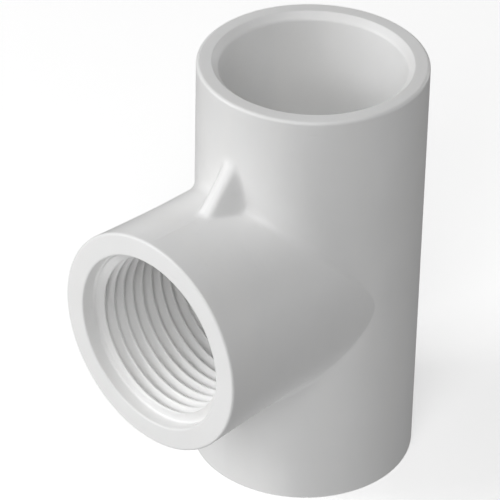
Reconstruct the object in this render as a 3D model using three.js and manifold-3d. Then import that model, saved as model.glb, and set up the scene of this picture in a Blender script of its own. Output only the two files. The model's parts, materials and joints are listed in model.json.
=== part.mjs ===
// A slip by slip by female-thread tee for 3/4 inch nominal Schedule 40 PVC pipe.
//
// The fitting is one injection moulding: a straight run with a solvent-weld socket at each end,
// a branch at right angles with a taper pipe thread moulded in its mouth, and a gusset in each
// crotch. Lengths are millimetres and +Z is up. The run stands along Z on its lower end and the
// branch opens towards -Y. The origin is at the middle of the base of the fitting's box.
// The shapes are built about the crossing of the two axes, and the mesh is then moved into place.

import * as THREE from "three";
import { mergeVertices } from "three/addons/utils/BufferGeometryUtils.js";
import Module from "manifold-3d";

// Outside of the run and the branch.
const RUN_LENGTH = 65.2;
const RUN_RADIUS = 16.6;
const RUN_EDGE = 0.5; // bevel round each end of the run
const BRANCH_REACH = 32.6; // from the run's axis to the branch's face
const BRANCH_ROOT_RADIUS = 16.3;
const BRANCH_FACE_RADIUS = 16.8;
const BRANCH_FLARE_START = 18.2; // distance from the run's axis where the draft begins
const BRANCH_EDGE = 0.35; // bevel round the branch's face

// Fillet where the branch meets the run: a ball of this radius rolled round the joint.
const FILLET_RADIUS = 1.6;
const FILLET_SINK = 0.04; // how far the fillet's edges run on under the surfaces they meet
const FILLET_CORE = 2; // how far the fillet's buried corner lies below them
const FILLET_STEPS = 4;

// Gusset in each crotch, a wedge that is narrow at its sloping crest and wide at its root.
const GUSSET_RISE = 6.9; // up the run from the top of the branch
const GUSSET_RUN = 5.7; // out along the branch from the run
const GUSSET_CREST_WIDTH = 1.5;
const GUSSET_ROOT_WIDTH = 6.2;
const GUSSET_BURY = 1; // how far each end and the root run on into the walls

// Solvent-weld sockets: an entrance chamfer, a slow taper and a stop shoulder.
const SOCKET_MOUTH_RADIUS = 14.4;
const SOCKET_TOP_RADIUS = 13.44;
const SOCKET_BOTTOM_RADIUS = 13.28;
const SOCKET_DEPTH = 18.5;
const WATERWAY_RADIUS = 10.4;

// Threaded mouth of the branch: 14 threads to the inch, 1 in 16 taper on diameter. The radii of
// the thread are those that its cones would have at the branch's face.
const COUNTERBORE_RADIUS = 13.36;
const COUNTERBORE_DEPTH = 2.15;
const COUNTERBORE_EDGE = 0.2; // bevel round its mouth
const THREAD_PITCH = 25.4 / 14;
const THREAD_ROOT_RADIUS = 13.25;
const THREAD_CREST_RADIUS = 11.89;
const THREAD_FLAT = 0.12; // width of the flat on each crest and root
const THREAD_TAPER = 1 / 32; // radius lost for each unit of depth
const THREAD_START = 1.45; // the thread form begins inside the counterbore
const THREAD_DEPTH = 20;
const BRANCH_BORE_RADIUS = 10; // a little under the waterway, so that it opens into its side

const SEGMENTS = 72; // facets round every circle
const OVERRUN = 1; // how far a cutter runs past the face it opens

const wasm = await Module();
wasm.setup();

// A closed geometry as a solid that can be joined and cut.
function solidOf(geometry) {
  geometry.deleteAttribute("normal");
  geometry.deleteAttribute("uv");
  const merged = mergeVertices(geometry, 1e-4);
  const vertProperties = merged.attributes.position.array;
  const triVerts = new Uint32Array(merged.index.array);
  return new wasm.Manifold(new wasm.Mesh({ numProp: 3, vertProperties, triVerts }));
}

// A shape turned about the Y axis from [radius, height] pairs that start and end on the axis.
function turned(profile) {
  const points = profile.map(([radius, height]) => new THREE.Vector2(radius, height));
  return new THREE.LatheGeometry(points, SEGMENTS);
}

// The same, about the Z axis.
function turnedUpright(profile) {
  return turned(profile).rotateX(Math.PI / 2);
}

function indexedGeometry(positions, indices) {
  const geometry = new THREE.BufferGeometry();
  geometry.setAttribute("position", new THREE.Float32BufferAttribute(positions, 3));
  geometry.setIndex(indices);
  return geometry;
}

function runBody() {
  const end = RUN_LENGTH / 2;
  const shape = turnedUpright([
    [0, -end],
    [RUN_RADIUS - RUN_EDGE, -end],
    [RUN_RADIUS, RUN_EDGE - end],
    [RUN_RADIUS, end - RUN_EDGE],
    [RUN_RADIUS - RUN_EDGE, end],
    [0, end],
  ]);
  return solidOf(shape);
}

function branchBody() {
  const shape = turned([
    [0, -BRANCH_REACH],
    [BRANCH_FACE_RADIUS - BRANCH_EDGE, -BRANCH_REACH],
    [BRANCH_FACE_RADIUS, BRANCH_EDGE - BRANCH_REACH],
    [BRANCH_ROOT_RADIUS, -BRANCH_FLARE_START],
    [BRANCH_ROOT_RADIUS, 0],
    [0, 0],
  ]);
  return solidOf(shape);
}

// The ball that rolls round the joint touches both cylinders, so its centre lies one ball radius
// outside each. The fillet's face is the arc of the ball between its two points of contact.
function saddleFillet() {
  const positions = [];
  const indices = [];
  const ring = FILLET_STEPS + 2;
  for (let j = 0; j < SEGMENTS; j += 1) {
    const angle = (2 * Math.PI * j) / SEGMENTS;
    const x = (BRANCH_ROOT_RADIUS + FILLET_RADIUS) * Math.cos(angle);
    const z = (BRANCH_ROOT_RADIUS + FILLET_RADIUS) * Math.sin(angle);
    const centre = new THREE.Vector3(x, -Math.sqrt((RUN_RADIUS + FILLET_RADIUS) ** 2 - x * x), z);
    const toRun = new THREE.Vector3(-centre.x, -centre.y, 0).normalize();
    const toBranch = new THREE.Vector3(-centre.x, 0, -centre.z).normalize();
    for (let k = 0; k <= FILLET_STEPS; k += 1) {
      const sink = k === 0 || k === FILLET_STEPS ? FILLET_SINK : 0;
      const towards = new THREE.Vector3().lerpVectors(toRun, toBranch, k / FILLET_STEPS).normalize();
      positions.push(...centre.clone().addScaledVector(towards, FILLET_RADIUS + sink));
    }
    const inwards = toRun.clone().add(toBranch).normalize();
    positions.push(...centre.clone().addScaledVector(inwards, FILLET_RADIUS + FILLET_CORE));
    for (let k = 0; k < ring; k += 1) {
      const a = j * ring + k;
      const b = j * ring + ((k + 1) % ring);
      const c = ((j + 1) % SEGMENTS) * ring + k;
      const d = ((j + 1) % SEGMENTS) * ring + ((k + 1) % ring);
      indices.push(a, c, b, b, c, d);
    }
  }
  return solidOf(indexedGeometry(positions, indices));
}

// The gusset is a trapezium swept along the line of its crest. The crest runs from the top of the
// branch up to the run's wall, and the trapezium widens from the crest towards the crotch.
function gusset(turn) {
  const crestLength = Math.hypot(GUSSET_RISE, GUSSET_RUN);
  const crotchDepth = (GUSSET_RISE * GUSSET_RUN) / crestLength;
  const depth = crotchDepth + GUSSET_BURY;
  const crest = GUSSET_CREST_WIDTH / 2;
  const root = crest + ((GUSSET_ROOT_WIDTH / 2 - crest) * depth) / crotchDepth;
  const section = new THREE.Shape([
    new THREE.Vector2(-crest, 0),
    new THREE.Vector2(crest, 0),
    new THREE.Vector2(root, depth),
    new THREE.Vector2(-root, depth),
  ]);
  const length = crestLength + 2 * GUSSET_BURY;
  const geometry = new THREE.ExtrudeGeometry(section, { depth: length, bevelEnabled: false });
  const across = new THREE.Vector3(1, 0, 0);
  const along = new THREE.Vector3(0, GUSSET_RUN, GUSSET_RISE).normalize();
  const inwards = along.clone().cross(across);
  const foot = new THREE.Vector3(0, -RUN_RADIUS - GUSSET_RUN, BRANCH_ROOT_RADIUS);
  foot.addScaledVector(along, -GUSSET_BURY);
  geometry.applyMatrix4(new THREE.Matrix4().makeBasis(across, inwards, along).setPosition(foot));
  return solidOf(geometry.rotateY(turn));
}

function runBore() {
  const end = RUN_LENGTH / 2;
  const chamfer = SOCKET_MOUTH_RADIUS - SOCKET_TOP_RADIUS;
  const upper = [
    [WATERWAY_RADIUS, end - SOCKET_DEPTH],
    [SOCKET_BOTTOM_RADIUS, end - SOCKET_DEPTH],
    [SOCKET_TOP_RADIUS, end - chamfer],
    [SOCKET_MOUTH_RADIUS, end],
    [SOCKET_MOUTH_RADIUS, end + OVERRUN],
    [0, end + OVERRUN],
  ];
  const lower = upper.map(([radius, height]) => [radius, -height]).reverse();
  return solidOf(turnedUpright([...lower, ...upper]));
}

// The radius of the thread's root or crest cone at a depth below the branch's face.
function threadRadius(radiusAtFace, depth) {
  return radiusAtFace - THREAD_TAPER * depth;
}

// A closed plug with a right-hand taper thread on it. Each column of points is the outline of the
// plug at one angle, and lies one pitch further in after a full turn, where it joins the first.
function threadedPlug() {
  const flank = (THREAD_PITCH - 2 * THREAD_FLAT) / 2;
  const form = [
    [0, THREAD_CREST_RADIUS],
    [THREAD_FLAT, THREAD_CREST_RADIUS],
    [THREAD_FLAT + flank, THREAD_ROOT_RADIUS],
    [2 * THREAD_FLAT + flank, THREAD_ROOT_RADIUS],
  ];
  const start = THREAD_START - THREAD_PITCH;
  const turns = Math.ceil((THREAD_DEPTH - start) / THREAD_PITCH) + 1;
  const last = turns * form.length;
  const rows = last + 1;
  const positions = [];
  const indices = [];
  for (let j = 0; j <= SEGMENTS; j += 1) {
    const angle = (2 * Math.PI * j) / SEGMENTS;
    for (let i = 0; i <= last; i += 1) {
      const [offset, radiusAtFace] = form[i % form.length];
      const turn = Math.floor(i / form.length) + j / SEGMENTS;
      const depth = start + offset + THREAD_PITCH * turn;
      const radius = threadRadius(radiusAtFace, depth);
      positions.push(radius * Math.sin(angle), depth - BRANCH_REACH, radius * Math.cos(angle));
    }
  }
  for (let j = 0; j < SEGMENTS; j += 1) {
    for (let i = 0; i < last; i += 1) {
      const a = j * rows + i;
      const b = a + rows;
      indices.push(a, b, a + 1, b, b + 1, a + 1);
    }
  }
  // Each end is a fan from a point on the axis, with a step where the turn begins or stops.
  const outer = positions.length / 3;
  const inner = outer + 1;
  positions.push(0, start + THREAD_PITCH / 2 - BRANCH_REACH, 0);
  positions.push(0, start + THREAD_PITCH * (turns + 0.5) - BRANCH_REACH, 0);
  for (let j = 0; j < SEGMENTS; j += 1) {
    indices.push(outer, (j + 1) * rows, j * rows);
    indices.push(inner, j * rows + last, (j + 1) * rows + last);
  }
  const seam = SEGMENTS * rows;
  for (let i = 0; i < form.length; i += 1) {
    indices.push(outer, i, i + 1);
    indices.push(inner, seam + last - i, seam + last - i - 1);
  }
  return solidOf(indexedGeometry(positions, indices));
}

// The hollow of the branch: counterbore, flat shoulder, thread with a run-out at 45 degrees, and
// bore into the run.
function branchBore() {
  const face = -BRANCH_REACH;
  const mouth = turned([
    [0, face - OVERRUN],
    [COUNTERBORE_RADIUS + COUNTERBORE_EDGE, face - OVERRUN],
    [COUNTERBORE_RADIUS + COUNTERBORE_EDGE, face],
    [COUNTERBORE_RADIUS, face + COUNTERBORE_EDGE],
    [COUNTERBORE_RADIUS, face + COUNTERBORE_DEPTH],
    [BRANCH_BORE_RADIUS, face + COUNTERBORE_DEPTH],
    [BRANCH_BORE_RADIUS, 0],
    [0, 0],
  ]);
  const fullDepth = THREAD_DEPTH - (COUNTERBORE_RADIUS - BRANCH_BORE_RADIUS);
  const threadZone = turned([
    [0, face + THREAD_START],
    [COUNTERBORE_RADIUS, face + THREAD_START],
    [COUNTERBORE_RADIUS, face + fullDepth],
    [BRANCH_BORE_RADIUS, face + THREAD_DEPTH],
    [0, face + THREAD_DEPTH],
  ]);
  const thread = threadedPlug().intersect(solidOf(threadZone));
  return solidOf(mouth).add(thread);
}

function teeBody() {
  const outside = runBody()
    .add(branchBody())
    .add(saddleFillet())
    .add(gusset(0))
    .add(gusset(Math.PI));
  const moulded = outside.subtract(runBore()).subtract(branchBore()).getMesh();
  const geometry = indexedGeometry(moulded.vertProperties, Array.from(moulded.triVerts));
  geometry.computeVertexNormals();
  const pvc = new THREE.MeshStandardMaterial({ color: 0xededea, roughness: 0.42, metalness: 0 });
  const mesh = new THREE.Mesh(geometry, pvc);
  mesh.name = "tee_body";
  mesh.position.set(0, (BRANCH_REACH - RUN_RADIUS) / 2, RUN_LENGTH / 2);
  return mesh;
}

const tee = new THREE.Group();
tee.add(teeBody());

export default tee;
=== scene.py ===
import json
import math

import bpy
import numpy as np
from mathutils import Matrix, Vector


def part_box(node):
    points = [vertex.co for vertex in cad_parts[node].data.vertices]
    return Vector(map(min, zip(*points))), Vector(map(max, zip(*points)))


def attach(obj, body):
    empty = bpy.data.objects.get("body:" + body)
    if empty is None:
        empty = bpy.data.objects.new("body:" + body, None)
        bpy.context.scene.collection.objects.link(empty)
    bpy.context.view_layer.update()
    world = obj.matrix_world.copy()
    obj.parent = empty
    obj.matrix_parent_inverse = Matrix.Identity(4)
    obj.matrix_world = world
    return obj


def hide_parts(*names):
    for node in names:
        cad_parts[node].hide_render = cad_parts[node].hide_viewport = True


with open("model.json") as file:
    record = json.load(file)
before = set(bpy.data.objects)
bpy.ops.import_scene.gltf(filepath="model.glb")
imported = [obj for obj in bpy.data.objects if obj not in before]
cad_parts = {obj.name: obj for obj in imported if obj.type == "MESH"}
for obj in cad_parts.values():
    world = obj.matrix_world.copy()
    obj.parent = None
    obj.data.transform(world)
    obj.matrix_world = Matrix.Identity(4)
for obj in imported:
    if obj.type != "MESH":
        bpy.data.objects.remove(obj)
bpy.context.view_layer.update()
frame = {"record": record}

# A white moulded PVC pipe tee: one closed skin of quads in place of the CAD solid.
# The skin is worked out in millimetres about the crossing of the two axes, with the run along Z
# and the branch opening towards -Y, and is then moved into the CAD's frame in metres.

MM = 0.001

MOUNTS = {mount["name"]: mount["pos_m"] for mount in frame["record"]["mounts"]}
CAD_LOW, CAD_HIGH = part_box("tee_body")
CROSSING = Vector((0.0, MOUNTS["upper_socket_rim"][1], MOUNTS["branch_face"][2]))

# Sizes that the CAD solid gives.
RUN_RADIUS = (CAD_HIGH.y - CROSSING.y) / MM
HALF_RUN = (CAD_HIGH.z - CROSSING.z) / MM
BRANCH_REACH = (CROSSING.y - CAD_LOW.y) / MM
BRANCH_FACE_RADIUS = CAD_HIGH.x / MM

# Outside of the branch and the rolled fillet at its root, as in the CAD solid.
BRANCH_ROOT_RADIUS = 16.3
BRANCH_FLARE = BRANCH_FACE_RADIUS - BRANCH_ROOT_RADIUS
FLARE_POWER = 1.5
SADDLE_BALL = 1.6
RIM_ROUNDING = 0.5
FACE_ROUNDING = 0.4

# Sockets and waterway.
SOCKET_MOUTH_RADIUS = 14.4
SOCKET_TOP_RADIUS = 13.44
SOCKET_BOTTOM_RADIUS = 13.28
SOCKET_DEPTH = 18.5
MOUTH_ROUNDING = 0.3
THROAT_ROUNDING = 0.8
STOP_ROUNDING = 0.4
WATERWAY_RADIUS = 10.4
BRANCH_BORE_RADIUS = 10.0
CROSSING_BALL = 0.4

# Threaded mouth of the branch. Depths are measured from the branch's face.
COUNTERBORE_RADIUS = 13.36
COUNTERBORE_DEPTH = 2.15
COUNTERBORE_ROUNDING = 0.3
SHOULDER_ROUNDING = 0.35
THREAD_PITCH = 25.4 / 14
THREAD_HALF_ANGLE = math.radians(30)
THREAD_TOP_CREST = -0.27
THREAD_CREST_RADIUS = 11.93
THREAD_CREST_FLAT = 0.2
THREAD_ROOT_FLAT = 0.12
THREAD_ROUNDING = 0.1
THREAD_TAPER = 1 / 32
THREAD_END = 20.0
THREAD_BLEND = 0.1

# Gusset in each crotch.
GUSSET_RISE = 6.9
GUSSET_RUN = 5.7
GUSSET_CREST = 1.15
GUSSET_ROOT = 3.1
GUSSET_EDGE = 0.45
GUSSET_BLEND = 0.8

# Witness marks of the mould: the parting line in the plane of the two axes, and the gate's scar.
PARTING_HEIGHT = 0.05
PARTING_WIDTH = 0.16
GATE_RADIUS = 2.0
GATE_HEIGHT = 0.18
GATE_EDGE = 0.35

# The patch of the run's wall round the branch: how far round the run it reaches to each side of -Y,
# and how far up and down, on the outside and in the waterway.
PATCH_ANGLE = math.radians(105)
OUTER_PATCH_HEIGHT = 27.0
INNER_PATCH_HEIGHT = 12.6

# Density of the skin. SIDE is the number of columns along one side of the patch. Steps are rows, and
# a grading is the length of the shortest step as a share of an even one.
SIDE = 72
OUTER_ARC_STEPS = 9
OUTER_PATCH_STEPS = 24
INNER_ARC_STEPS = 4
INNER_PATCH_STEPS = 6
PATCH_GRADING = 0.55
BARREL_STEPS = 38
BARREL_GRADING = 0.5
BORE_STEPS = 4
ROUNDING_STEPS = 5

# GUARD is the distance of the guard points beside a bend, LONGEST the longest stretch without a row,
# and an edge that turns more than SHARP_ANGLE is drawn sharp.
GUARD = 0.08
LONGEST = 1.6
SHARP_ANGLE = math.radians(48)

# Rows of the thread: how far the level ring lies past the shoulder and how far the next row keeps
# from it, the longest step along the thread's form and how much of a step may be left over.
THREAD_STEP = 0.03
THREAD_CLEAR = 0.02
THREAD_ROW = 0.19
THREAD_ROW_SLACK = 0.2
THREAD_ROUNDING_STEPS = 2


def unit(vectors):
    """The vectors at length one, along their last axis."""
    return vectors / np.linalg.norm(vectors, axis=-1, keepdims=True)


def eased(values, share):
    """-1 to 1 mapped onto itself, with steps near 0 that are share of an even step."""
    return share * values + (1 - share) * values**3


def graded(count, first):
    """0 to 1 in count steps, the first of them about first of an even step."""
    even = np.linspace(0, 1, count + 1)
    return first * even + (1 - first) * even**2


def smooth_max(a, b, blend):
    """The larger of a and b, rounded where they cross."""
    near = np.maximum(blend - np.abs(a - b), 0)
    return np.maximum(a, b) + near**2 / (4 * blend)


def rounded(corners, steps=ROUNDING_STEPS):
    """A line through (radius, place, rounding) corners, each rounding drawn as an arc."""
    line = [np.array(corners[0][:2])]
    for before, corner, after in zip(corners, corners[1:], corners[2:]):
        here = np.array(corner[:2])
        if not corner[2]:
            line.append(here)
            continue
        back = unit(np.array(before[:2]) - here)
        ahead = unit(np.array(after[:2]) - here)
        half = math.acos(float(np.clip(back @ ahead, -1, 1))) / 2
        centre = here + unit(back + ahead) * corner[2] / math.sin(half)
        start = here + back * corner[2] / math.tan(half) - centre
        end = here + ahead * corner[2] / math.tan(half) - centre
        sweep = math.pi - 2 * half
        for share in np.linspace(0, 1, steps + 1):
            turned = start * math.sin((1 - share) * sweep) + end * math.sin(share * sweep)
            line.append(centre + turned / math.sin(sweep))
    line.append(np.array(corners[-1][:2]))
    return line


def spaced(line):
    """The line with a guard point beside each bend, and long stretches divided evenly."""
    out = [line[0]]
    for start, end in zip(line, line[1:]):
        length = float(np.linalg.norm(end - start))
        if length > 4 * GUARD:
            inner = max(1, math.ceil((length - 2 * GUARD) / LONGEST))
            for place in np.linspace(GUARD, length - GUARD, inner + 1):
                out.append(start + (end - start) * place / length)
        out.append(end)
    return np.array(out)


class Skin:
    """Points and faces of one surface, built as sheets of quads that share their edges."""

    def __init__(self):
        self.points = []
        self.faces = []

    def add(self, points):
        """Adds an array of points, whatever its shape, and returns their numbers in that shape."""
        points = np.asarray(points, float)
        first = len(self.points)
        self.points.extend(points.reshape(-1, 3))
        return np.arange(first, len(self.points)).reshape(points.shape[:-1])

    def sheet(self, numbers, flip=False, closed=False):
        """Joins a grid of point numbers into quads, or triangles where two of them are the same."""
        if closed:
            numbers = np.concatenate([numbers, numbers[:, :1]], axis=1)
        corners = (numbers[:-1, :-1], numbers[1:, :-1], numbers[1:, 1:], numbers[:-1, 1:])
        for face in np.stack(corners, axis=-1).reshape(-1, 4).tolist():
            face = [n for place, n in enumerate(face) if n != face[place - 1]]
            if len(face) > 2:
                self.faces.append(face[::-1] if flip else face)


# Columns of the skin round the branch, as angles from +X towards +Z. They start at the lower right
# corner of the patch, and are closest beside the gussets. A share is the step in the middle of a
# side of the patch, as a share of an even one.
SIDE_PLACES = np.linspace(-1, 1, SIDE + 1)
GUSSET_SHARE = 0.45
RING_SHARE = 0.6


def columns():
    """The angles round the branch, and where each column ends on the patch's edge, as shares of the
    patch's half sizes."""
    even = SIDE_PLACES[:-1]
    close = eased(even, GUSSET_SHARE)
    across = eased(even, RING_SHARE)
    ones = np.ones(SIDE)
    quarter = math.pi / 4
    angles = np.concatenate([even, 2 + close, 4 + even, 6 + close]) * quarter
    edge_angle = np.concatenate([ones, -across, -ones, across])
    edge_height = np.concatenate([even, ones, -even, -ones])
    return angles, edge_angle, edge_height


ANGLES, EDGE_ANGLE, EDGE_HEIGHT = columns()
COLUMN = np.arange(4 * SIDE)

# Turns of the thread from +Z to each column, towards +X.
THREAD_TURNED = (math.pi / 2 - ANGLES) / (2 * math.pi)


def round_branch(radius, depth):
    """Points round the branch's axis at a radius and a depth below its face."""
    radius, depth, angles = np.broadcast_arrays(radius, depth, ANGLES)
    return np.stack([radius * np.cos(angles), depth - BRANCH_REACH, radius * np.sin(angles)], axis=-1)


def round_run(radius, angles, heights):
    """Points round the run's axis, at angles from -Y towards +X."""
    radius, angles, heights = np.broadcast_arrays(radius, angles, heights)
    return np.stack([radius * np.sin(angles), -radius * np.cos(angles), heights], axis=-1)


def saddle(run_radius, branch_radius, ball, patch_height, arc_steps, patch_steps):
    """The rolled edge where a branch meets a run, and the patch of the run round it.

    A ball that touches both cylinders has its centre one ball radius outside each. Returns the depth
    at which each column leaves the branch, then points and outward directions of the rows after it."""
    centre_radius = branch_radius + ball
    x = centre_radius * np.cos(ANGLES)
    y = -np.sqrt((run_radius + ball) ** 2 - x**2)
    centre = np.stack([x, y, centre_radius * np.sin(ANGLES)], axis=-1)
    to_run = unit(centre * np.array([-1, -1, 0]))
    to_branch = unit(centre * np.array([-1, 0, -1]))
    sweep = np.arccos(np.clip(np.sum(to_run * to_branch, axis=-1, keepdims=True), -1, 1))
    rows = []
    outward = []
    for share in np.linspace(0, 1, arc_steps + 1)[1:]:
        towards = to_branch * np.sin((1 - share) * sweep) + to_run * np.sin(share * sweep)
        towards = towards / np.sin(sweep)
        rows.append(centre + ball * towards)
        outward.append(-towards)
    contact_angle = np.arctan2(rows[-1][:, 0], -rows[-1][:, 1])
    contact_height = rows[-1][:, 2]
    for share in graded(patch_steps, PATCH_GRADING)[1:]:
        angle = contact_angle + (EDGE_ANGLE * PATCH_ANGLE - contact_angle) * share
        height = contact_height + (EDGE_HEIGHT * patch_height - contact_height) * share
        rows.append(round_run(run_radius, angle, height))
        outward.append(round_run(1.0, angle, 0.0))
    return y + BRANCH_REACH, np.array(rows), np.array(outward)


def gusset_lift(points):
    """How far each point of the plain outside rises to the gusset, and which way.

    The gusset is a wedge along a sloping crest. Its half width grows with depth below the crest."""
    slope = unit(np.array([GUSSET_RISE, GUSSET_RUN]))
    x, y, z = points[..., 0], points[..., 1], points[..., 2]
    depth = (y + RUN_RADIUS + GUSSET_RUN) * slope[0] - (np.abs(z) - BRANCH_ROOT_RADIUS) * slope[1]
    crotch_depth = GUSSET_RUN * slope[0]
    widening = (GUSSET_ROOT - GUSSET_CREST) / crotch_depth
    past_crest = (np.abs(x) - GUSSET_CREST) / widening
    edge = GUSSET_EDGE / widening
    fall = (past_crest + np.sqrt(past_crest**2 + edge**2)) / 2
    height = smooth_max(depth - fall, np.zeros_like(depth), GUSSET_BLEND)
    height = np.where((depth - fall < -GUSSET_BLEND) | (y > 0), 0, height)
    return np.stack([np.zeros_like(x), -slope[0] * height, np.sign(z) * slope[1] * height], axis=-1)


def outside(points, outward):
    """The plain outside with its gussets, and the parting line along the plane of the axes."""
    ridge = PARTING_HEIGHT * np.exp(-((points[..., :1] / PARTING_WIDTH) ** 2))
    return points + gusset_lift(points) + outward * ridge


def gate_scar(points):
    """The low round scar that the gate leaves in the middle of the run's back."""
    across = RUN_RADIUS * np.arcsin(np.clip(points[..., 0] / RUN_RADIUS, -1, 1))
    distance = np.hypot(across, points[..., 2])
    rise = np.clip((GATE_RADIUS - distance) / GATE_EDGE, 0, 1)
    return GATE_HEIGHT * rise**2 * (3 - 2 * rise)


def branch_radius_at(depth):
    """The outside radius of the branch, which swells a little towards its face."""
    start = BRANCH_REACH - RUN_RADIUS - SADDLE_BALL
    share = np.clip((start - depth) / start, 0, 1)
    return BRANCH_ROOT_RADIUS + BRANCH_FLARE * share**FLARE_POWER


def thread_form():
    """One pitch of the thread from the middle of a crest, as depths and heights above the crest."""
    flank = (THREAD_PITCH - THREAD_CREST_FLAT - THREAD_ROOT_FLAT) / 2
    height = flank / math.tan(THREAD_HALF_ANGLE)
    first = THREAD_CREST_FLAT / 2
    corners = [
        (0, 0, 0),
        (0, first, THREAD_ROUNDING),
        (height, first + flank, THREAD_ROUNDING),
        (height, first + flank + THREAD_ROOT_FLAT, THREAD_ROUNDING),
        (0, THREAD_PITCH - first, THREAD_ROUNDING),
        (0, THREAD_PITCH, 0),
    ]
    line = rounded(corners, THREAD_ROUNDING_STEPS)
    form = [line[0]]
    for start, end in zip(line, line[1:]):
        parts = math.ceil((end[1] - start[1]) / THREAD_ROW - THREAD_ROW_SLACK)
        form.extend(start + (end - start) * share for share in np.linspace(0, 1, parts + 1)[1:])
    form = np.array(form)[:-1]
    return form[:, 1], form[:, 0]


def thread_radius(depth, start_radius):
    """The radius of the threaded wall at a depth in each column.

    The thread goes in as it turns from +Z towards +X. It is cut back by a 45 degree entry at the
    shoulder, and by the run-out to the plain bore."""
    form_depth, form_height = thread_form()
    place = np.mod(depth - THREAD_TOP_CREST - THREAD_PITCH * THREAD_TURNED, THREAD_PITCH)
    height = np.interp(place, np.append(form_depth, THREAD_PITCH), np.append(form_height, 0))
    form = THREAD_CREST_RADIUS + height - THREAD_TAPER * depth
    entry = start_radius + depth - COUNTERBORE_DEPTH
    run_out = BRANCH_BORE_RADIUS + (THREAD_END - depth)
    return -smooth_max(-np.minimum(form, entry), -run_out, THREAD_BLEND)


def thread(skin, start_ring, start_radius, end_ring):
    """The threaded wall between the shoulder and the plain bore.

    A level ring lies just inside the shoulder. The rows below it follow the thread, and join the row
    one pitch away after a full turn. Rows stop at the two rings, where their last points are the
    rings' own."""
    ring_depth = COUNTERBORE_DEPTH + THREAD_STEP
    radius = thread_radius(np.full(4 * SIDE, ring_depth), start_radius)
    ring = skin.add(round_branch(radius, ring_depth))
    skin.sheet(np.array([ring, start_ring]), closed=True)

    form_depth, _ = thread_form()
    rows_per_turn = len(form_depth)
    turns = math.ceil((THREAD_END - THREAD_TOP_CREST) / THREAD_PITCH) + 2
    row = np.arange(turns * rows_per_turn + 1)
    row_depth = THREAD_PITCH * (row // rows_per_turn) + form_depth[row % rows_per_turn]
    depth = THREAD_TOP_CREST + row_depth[:, None] + THREAD_PITCH * THREAD_TURNED[None, :]
    below = depth > ring_depth + THREAD_CLEAR
    inside = below & (depth < THREAD_END - GUARD / 2)
    numbers = np.where(below, end_ring[None, :], ring[None, :])
    numbers[inside] = skin.add(round_branch(thread_radius(depth, start_radius), depth)[inside])
    joined = np.concatenate([np.repeat(ring[:1], rows_per_turn), numbers[:-rows_per_turn, 0]])
    skin.sheet(np.concatenate([numbers, joined[:, None]], axis=1)[::-1])


def branch(skin):
    """Everything round the branch's axis, out of the run's waterway, over the branch's face and back
    onto the run. Returns the edges of the inner and the outer patch on the run."""
    leave_bore, inner_rows, _ = saddle(
        WATERWAY_RADIUS,
        BRANCH_BORE_RADIUS,
        CROSSING_BALL,
        INNER_PATCH_HEIGHT,
        INNER_ARC_STEPS,
        INNER_PATCH_STEPS,
    )
    shares = np.linspace(0, 1, BORE_STEPS + 1)
    plain_bore = [THREAD_END + (leave_bore - THREAD_END) * share for share in shares]
    bore_rows = np.array([round_branch(BRANCH_BORE_RADIUS, depth) for depth in plain_bore])
    inner = skin.add(np.concatenate([inner_rows[::-1], bore_rows[::-1]]))
    skin.sheet(inner, closed=True)

    shoulder = COUNTERBORE_RADIUS - SHOULDER_ROUNDING
    mouth = spaced(rounded([
        (shoulder - GUARD, COUNTERBORE_DEPTH, 0),
        (COUNTERBORE_RADIUS, COUNTERBORE_DEPTH, SHOULDER_ROUNDING),
        (COUNTERBORE_RADIUS, 0, COUNTERBORE_ROUNDING),
        (BRANCH_FACE_RADIUS, 0, FACE_ROUNDING),
        (float(branch_radius_at(2 * FACE_ROUNDING)), 2 * FACE_ROUNDING, 0),
    ]))
    mouth_rows = np.array([round_branch(radius, depth) for radius, depth in mouth])
    leave_barrel, saddle_rows, saddle_out = saddle(
        RUN_RADIUS,
        BRANCH_ROOT_RADIUS,
        SADDLE_BALL,
        OUTER_PATCH_HEIGHT,
        OUTER_ARC_STEPS,
        OUTER_PATCH_STEPS,
    )
    barrel = []
    for share in 1 - graded(BARREL_STEPS, BARREL_GRADING)[::-1][1:]:
        depth = mouth[-1][1] + (leave_barrel - mouth[-1][1]) * share
        barrel.append(round_branch(branch_radius_at(depth), depth))
    barrel_out = np.broadcast_to(unit(round_branch(1.0, BRANCH_REACH)), np.array(barrel).shape)
    rows = outside(np.concatenate([barrel, saddle_rows]), np.concatenate([barrel_out, saddle_out]))
    outer = skin.add(np.concatenate([mouth_rows, rows]))
    skin.sheet(outer, closed=True)
    thread(skin, outer[0], shoulder - GUARD, inner[-1])
    return inner[0], outer[-1]


# Columns of the run's back: steps to each side of it and across its middle, which has close columns
# at the parting line.
BACK_SPREAD = math.radians(12)
BACK_SIDE_STEPS = 21
BACK_MIDDLE_STEPS = 26
SEAM_SPREAD = math.radians(1.5)
SEAM_ANGLES = np.radians([-1.1, -0.45, 0.0, 0.45, 1.1])


def back_angles():
    """Angles of the columns round the run's back, between the patch's two upright edges."""
    side = np.linspace(PATCH_ANGLE, math.pi - BACK_SPREAD, BACK_SIDE_STEPS + 1)[1:]
    middle = np.linspace(-BACK_SPREAD, BACK_SPREAD, BACK_MIDDLE_STEPS + 1)[1:-1]
    middle = middle[np.abs(middle) > SEAM_SPREAD]
    middle = np.sort(np.concatenate([middle, SEAM_ANGLES])) + math.pi
    return np.concatenate([side, middle, (2 * math.pi - side)[::-1]])


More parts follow.
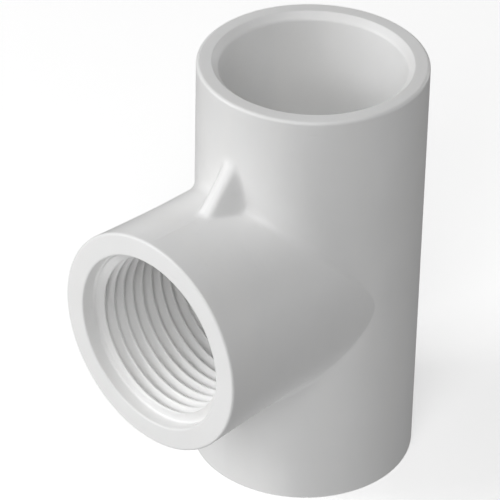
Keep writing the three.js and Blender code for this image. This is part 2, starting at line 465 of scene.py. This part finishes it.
def back(skin, edge, radius, patch_height, scar, flip):
    """The part of the run's wall that the patch round the branch leaves open."""
    angles = back_angles()
    points = round_run(radius, angles[None, :], (SIDE_PLACES * patch_height)[:, None])
    if scar:
        outward = round_run(1.0, angles[None, :], np.zeros((SIDE + 1, 1)))
        points = points + outward * gate_scar(points)[..., None]
        points = outside(points, outward)
    right = edge[COLUMN[: SIDE + 1]]
    left = edge[COLUMN[2 * SIDE : 3 * SIDE + 1]][::-1]
    numbers = np.concatenate([right[:, None], skin.add(points), left[:, None]], axis=1)
    skin.sheet(numbers, flip=flip)
    upper = np.concatenate([edge[COLUMN[SIDE : 2 * SIDE + 1]][::-1], numbers[-1, 1:-1]])
    lower_front = edge[np.append(COLUMN[3 * SIDE :], 0)]
    lower = np.concatenate([lower_front, numbers[0, 1:-1]])
    return upper, lower


def run_end(skin, outer_ring, inner_ring, sign):
    """One end of the run: from the outer patch over the rim, down the socket and its stop, to the
    inner patch."""
    line = spaced(rounded([
        (RUN_RADIUS, OUTER_PATCH_HEIGHT, 0),
        (RUN_RADIUS, HALF_RUN, RIM_ROUNDING),
        (SOCKET_MOUTH_RADIUS, HALF_RUN, MOUTH_ROUNDING),
        (SOCKET_TOP_RADIUS, HALF_RUN - (SOCKET_MOUTH_RADIUS - SOCKET_TOP_RADIUS), THROAT_ROUNDING),
        (SOCKET_BOTTOM_RADIUS, HALF_RUN - SOCKET_DEPTH, STOP_ROUNDING),
        (WATERWAY_RADIUS, HALF_RUN - SOCKET_DEPTH, STOP_ROUNDING),
        (WATERWAY_RADIUS, INNER_PATCH_HEIGHT, 0),
    ]))[1:-1]
    front = eased(SIDE_PLACES, RING_SHARE) * PATCH_ANGLE
    angles = np.concatenate([front, back_angles()])
    rows = []
    for radius, height in line:
        row = round_run(radius, angles, sign * height)
        outward = round_run(1.0, angles, np.zeros_like(angles))
        on_outside = radius > RUN_RADIUS - GUARD
        rows.append(outside(row, outward) if on_outside else row)
    numbers = np.concatenate([outer_ring[None], skin.add(rows), inner_ring[None]])
    skin.sheet(numbers, flip=sign > 0, closed=True)


def tee_skin():
    """The whole skin: the branch with both patches, the run's back outside and inside, and both ends."""
    skin = Skin()
    inner_edge, outer_edge = branch(skin)
    outer_upper, outer_lower = back(
        skin, outer_edge, RUN_RADIUS, OUTER_PATCH_HEIGHT, scar=True, flip=True
    )
    inner_upper, inner_lower = back(
        skin, inner_edge, WATERWAY_RADIUS, INNER_PATCH_HEIGHT, scar=False, flip=False
    )
    run_end(skin, outer_upper, inner_upper, 1)
    run_end(skin, outer_lower, inner_lower, -1)
    return skin


def tee_piece():
    """The skin as an object in the CAD's frame."""
    skin = tee_skin()
    points = np.array(skin.points) * MM + np.array(CROSSING)
    mesh = bpy.data.meshes.new("tee_body_skin")
    mesh.from_pydata(points.tolist(), [], skin.faces)
    mesh.validate()
    mesh.shade_smooth()
    mesh.set_sharp_from_angle(angle=SHARP_ANGLE)
    piece = bpy.data.objects.new("tee_body_skin", mesh)
    bpy.context.scene.collection.objects.link(piece)
    return piece


class Nodes:
    """The node tree of a material, with short ways to add and join nodes."""

    def __init__(self, name):
        self.material = bpy.data.materials.new(name)
        self.material.use_nodes = True
        self.tree = self.material.node_tree
        self.shader = self.tree.nodes["Principled BSDF"]
        self.place = self.add("ShaderNodeTexCoord").outputs["Object"]

    def add(self, kind, **settings):
        node = self.tree.nodes.new(kind)
        for name, value in settings.items():
            setattr(node, name, value)
        return node

    def join(self, output, socket):
        self.tree.links.new(output, socket)

    def noise(self, scale, detail=2.0, stretch=(1, 1, 1), place=(0, 0, 0)):
        """Noise with scale features to the metre, squeezed by stretch along each axis."""
        mapping = self.add("ShaderNodeMapping")
        mapping.inputs["Scale"].default_value = stretch
        mapping.inputs["Location"].default_value = place
        noise = self.add("ShaderNodeTexNoise")
        noise.inputs["Scale"].default_value = scale
        noise.inputs["Detail"].default_value = detail
        self.join(self.place, mapping.inputs["Vector"])
        self.join(mapping.outputs["Vector"], noise.inputs["Vector"])
        return noise.outputs["Fac"]

    def spread(self, value, low, high, to_low, to_high):
        """The value's range from low to high taken to another range, and held at its ends."""
        ranged = self.add("ShaderNodeMapRange")
        ranged.inputs["From Min"].default_value = low
        ranged.inputs["From Max"].default_value = high
        ranged.inputs["To Min"].default_value = to_low
        ranged.inputs["To Max"].default_value = to_high
        self.join(value, ranged.inputs["Value"])
        return ranged.outputs["Result"]

    def sums(self, operation, first, second):
        """What an arithmetic operation makes of two values."""
        node = self.add("ShaderNodeMath", operation=operation)
        self.join(first, node.inputs[0])
        self.join(second, node.inputs[1])
        return node.outputs["Value"]

    def blend(self, share, first, second):
        """The first colour going to the second as the share goes from 0 to 1."""
        mix = self.add("ShaderNodeMix", data_type="RGBA")
        self.join(share, mix.inputs["Factor"])
        for colour, socket in ((first, mix.inputs["A"]), (second, mix.inputs["B"])):
            if isinstance(colour, tuple):
                socket.default_value = colour
            else:
                self.join(colour, socket)
        return mix.outputs["Result"]

    def bump(self, height, distance, onto=None):
        """The normal over a height that goes up to distance metres, on top of an earlier bump."""
        bump = self.add("ShaderNodeBump")
        bump.inputs["Distance"].default_value = distance
        self.join(height, bump.inputs["Height"])
        if onto:
            self.join(onto, bump.inputs["Normal"])
        return bump.outputs["Normal"]


PVC_COLOUR = (0.876, 0.876, 0.873, 1)
PVC_SHADE = (0.842, 0.843, 0.84, 1)
PVC_WARM = (0.868, 0.864, 0.854, 1)
SCUFF_COLOUR = (0.845, 0.845, 0.84, 1)
# Dust and painted shade: the grey-brown that darkens the sharpest hollows.
DUST_AND_SHADE_COLOUR = (0.6, 0.592, 0.575, 1)
PVC_IOR = 1.53

# Noises of the PVC: features to the metre, detail, stretch along each axis, and place.
CLOUDS = (55, 4.0)
STREAKS = (120, 3.0, (1, 1, 0.22), (0.3, 0.1, 0))
SCUFF_PATCHES = (90, 2.0, (1, 1, 1), (0.7, 0, 0.2))
UPRIGHT_SCUFFS = (1500, 3.0, (1, 0.8, 0.09), (0, 0.4, 0))
LEVEL_SCUFFS = (1300, 3.0, (0.1, 0.12, 1), (0.5, 0, 0))
# Patches of the dust and painted shade in the sharpest hollows.
DUST_AND_SHADE_PATCHES = (700, 3.0)
SHEEN = (260, 4.0, (1, 1, 1), (0, 0, 0.9))
GRAIN = (3800, 2.0)
PEEL = (420, 2.0, (1, 1, 1), (0.2, 0.6, 0))

# How each of them is spread: the noise's low and high value, and the values they turn into.
CLOUD_SPREAD = (0.36, 0.66, 0, 1)
STREAK_SPREAD = (0.45, 0.72, 0, 0.8)
SCUFF_PATCH_SPREAD = (0.54, 0.66, 0, 1)
SCUFF_SPREAD = (0.62, 0.74, 0, 1)
HOLLOW_SPREAD = (0.4, 0.475, 1, 0)
# Spread of the dust and painted shade patches in the hollows.
DUST_AND_SHADE_SPREAD = (0.35, 0.7, 0.05, 0.5)
SHEEN_SPREAD = (0.3, 0.7, 0.36, 0.5)
RUBBED_SPREAD = (0, 1, 0, 0.16)

# Bump distances in metres.
GRAIN_HEIGHT = 0.000006
PEEL_HEIGHT = 0.00005
SCUFF_HEIGHT = 0.00001


def pvc():
    """Moulded white PVC: faint clouds and flow streaks in the white, a satin skin with a very fine
    grain, light scuffs, and dust with painted shade that darkens the sharpest hollows."""
    nodes = Nodes("white_pvc")
    clouds = nodes.spread(nodes.noise(*CLOUDS), *CLOUD_SPREAD)
    streaks = nodes.spread(nodes.noise(*STREAKS), *STREAK_SPREAD)
    scuff_patches = nodes.spread(nodes.noise(*SCUFF_PATCHES), *SCUFF_PATCH_SPREAD)
    upright = nodes.spread(nodes.noise(*UPRIGHT_SCUFFS), *SCUFF_SPREAD)
    level = nodes.spread(nodes.noise(*LEVEL_SCUFFS), *SCUFF_SPREAD)
    scuffs = nodes.sums("MULTIPLY", scuff_patches, nodes.sums("ADD", upright, level))
    pointiness = nodes.add("ShaderNodeNewGeometry").outputs["Pointiness"]
    hollow = nodes.spread(pointiness, *HOLLOW_SPREAD)
    # Dust and painted shade: the sharpest hollows, found by pointiness, darkened in patches towards a
    # grey-brown.
    dust_and_shade = nodes.sums("MULTIPLY", hollow, nodes.spread(nodes.noise(*DUST_AND_SHADE_PATCHES), *DUST_AND_SHADE_SPREAD))

    colour = nodes.blend(clouds, PVC_COLOUR, PVC_SHADE)
    colour = nodes.blend(streaks, colour, PVC_WARM)
    colour = nodes.blend(scuffs, colour, SCUFF_COLOUR)
    colour = nodes.blend(dust_and_shade, colour, DUST_AND_SHADE_COLOUR)
    nodes.join(colour, nodes.shader.inputs["Base Color"])

    sheen = nodes.spread(nodes.noise(*SHEEN), *SHEEN_SPREAD)
    rubbed = nodes.spread(scuffs, *RUBBED_SPREAD)
    nodes.join(nodes.sums("ADD", sheen, rubbed), nodes.shader.inputs["Roughness"])

    grain = nodes.bump(nodes.noise(*GRAIN), GRAIN_HEIGHT)
    peel = nodes.bump(nodes.noise(*PEEL), PEEL_HEIGHT, grain)
    scratched = nodes.bump(nodes.spread(scuffs, 0, 1, 1, 0), SCUFF_HEIGHT, peel)
    nodes.join(scratched, nodes.shader.inputs["Normal"])
    nodes.shader.inputs["IOR"].default_value = PVC_IOR
    return nodes.material


tee = tee_piece()
tee.data.materials.append(pvc())
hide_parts("tee_body")
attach(tee, "root")

# Camera: azimuth, elevation and roll of the view, its distance, and the point it looks at, which
# is offset in the picture's plane from the crossing of the axes.
VIEW_AZIMUTH = math.radians(43.64)
VIEW_ELEVATION = math.radians(33.84)
VIEW_ROLL = math.radians(1.21)
VIEW_DISTANCE = 0.5114
VIEW_OFFSET = (-0.00839, 0.00044)
LENS = 251.5
SENSOR = 36.0
NEAR = 0.01
FAR = 10.0


def camera():
    """The scene's camera. back_way points from the crossing to the camera."""
    back_way = Vector((
        math.sin(VIEW_AZIMUTH) * math.cos(VIEW_ELEVATION),
        -math.cos(VIEW_AZIMUTH) * math.cos(VIEW_ELEVATION),
        math.sin(VIEW_ELEVATION),
    ))
    level = Vector((math.cos(VIEW_AZIMUTH), math.sin(VIEW_AZIMUTH), 0))
    up = back_way.cross(level)
    right = math.cos(VIEW_ROLL) * level + math.sin(VIEW_ROLL) * up
    up = back_way.cross(right)
    place = CROSSING + back_way * VIEW_DISTANCE + right * VIEW_OFFSET[0] + up * VIEW_OFFSET[1]
    data = bpy.data.cameras.new("camera")
    data.lens = LENS
    data.sensor_width = SENSOR
    data.clip_start = NEAR
    data.clip_end = FAR
    item = bpy.data.objects.new("camera", data)
    item.matrix_world = Matrix.Translation(place) @ Matrix((right, up, back_way)).transposed().to_4x4()
    bpy.context.scene.collection.objects.link(item)
    bpy.context.scene.camera = item


camera()

# Studio: soft square lights at one distance, each aimed at the crossing of the axes, as azimuth
# from -Y towards +X, elevation and power in watts, in an even grey surround. Two shine up from below
# the floor, which lets them through as a lit table would.
LIGHT_DISTANCE = 0.8
LIGHT_SIZE = 0.35
LIGHTS = {
    "key": (-30, 32, 2.26),
    "low_left": (-45, 10, 1.7),
    "below_front": (0, -60, 1.95),
    "right_front": (30, 32, 1.32),
    "below_right": (90, -60, 0.6),
    "high_right": (45, 54, 1.0),
    "back": (180, 10, 0.85),
    "back_left": (-135, 10, 0.55),
    "back_right": (135, 10, 0.45),
}
SURROUND = 0.16
FLOOR_SIDE = 2.0
FLOOR_COLOUR = (0.9, 0.9, 0.9, 1)
FLOOR_ROUGHNESS = 0.8
FLOOR_GLOW = 0.42


def studio():
    """The surround and the lights."""
    world = bpy.data.worlds.new("studio")
    world.use_nodes = True
    background = world.node_tree.nodes["Background"]
    background.inputs["Color"].default_value = (1, 1, 1, 1)
    background.inputs["Strength"].default_value = SURROUND
    bpy.context.scene.world = world
    for name, (azimuth, elevation, power) in LIGHTS.items():
        azimuth = math.radians(azimuth)
        elevation = math.radians(elevation)
        towards = Vector((
            math.sin(azimuth) * math.cos(elevation),
            -math.cos(azimuth) * math.cos(elevation),
            math.sin(elevation),
        ))
        data = bpy.data.lights.new(name, "AREA")
        data.shape = "SQUARE"
        data.size = LIGHT_SIZE
        data.energy = power
        item = bpy.data.objects.new(name, data)
        item.location = CROSSING + towards * LIGHT_DISTANCE
        item.rotation_euler = (-towards).to_track_quat("-Z", "Y").to_euler()
        bpy.context.scene.collection.objects.link(item)


def floor():
    """A pale floor that only the camera sees. It takes the part's shadow, but neither lights the part
    nor stops the lights below it."""
    side = FLOOR_SIDE
    corners = [(-side, -side, 0), (side, -side, 0), (side, side, 0), (-side, side, 0)]
    mesh = bpy.data.meshes.new("floor")
    mesh.from_pydata(corners, [], [(0, 1, 2, 3)])
    material = bpy.data.materials.new("floor_white")
    material.use_nodes = True
    shader = material.node_tree.nodes["Principled BSDF"]
    shader.inputs["Base Color"].default_value = FLOOR_COLOUR
    shader.inputs["Roughness"].default_value = FLOOR_ROUGHNESS
    shader.inputs["Emission Color"].default_value = (1, 1, 1, 1)
    shader.inputs["Emission Strength"].default_value = FLOOR_GLOW
    mesh.materials.append(material)
    item = bpy.data.objects.new("floor", mesh)
    item.visible_diffuse = False
    item.visible_glossy = False
    item.visible_transmission = False
    item.visible_shadow = False
    bpy.context.scene.collection.objects.link(item)
    return item


studio()
floor()

bpy.context.scene.view_settings.view_transform = "Standard"
